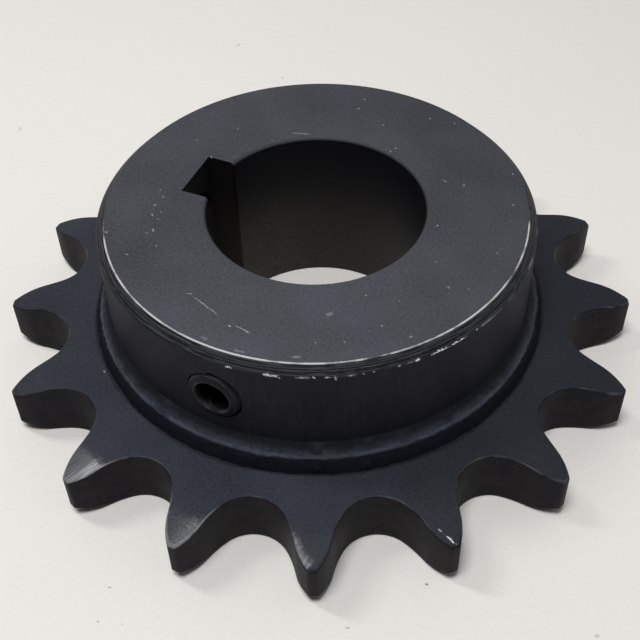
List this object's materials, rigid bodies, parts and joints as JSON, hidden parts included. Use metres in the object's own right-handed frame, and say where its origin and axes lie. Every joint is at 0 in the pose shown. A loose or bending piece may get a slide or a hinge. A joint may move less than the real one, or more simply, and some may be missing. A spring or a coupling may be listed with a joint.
{
  "type": "chain sprocket",
  "caption": "Steel roller-chain sprocket with a hub welded to a toothed plate, bored and keyed, held on its shaft by set screws.",
  "frame": {"origin": "on the bore axis, at the flat back face of the toothed plate", "axes": "+Z along the bore axis, from the back face towards the hub's free end; +X through the middle of the keyway and of the tooth behind it"},
  "size_m": [0.1786, 0.1786, 0.0508],
  "materials": {
    "hub_steel": "satin",
    "plate_steel": "satin",
    "weld_metal": "satin",
    "screw_steel": "satin"
  },
  "bodies": {
    "root": {"hub": "hub_steel", "tooth_plate": "plate_steel", "weld_bead": "weld_metal", "side_set_screw": "screw_steel", "keyway_set_screw": "screw_steel"}
  },
  "joints": []
}
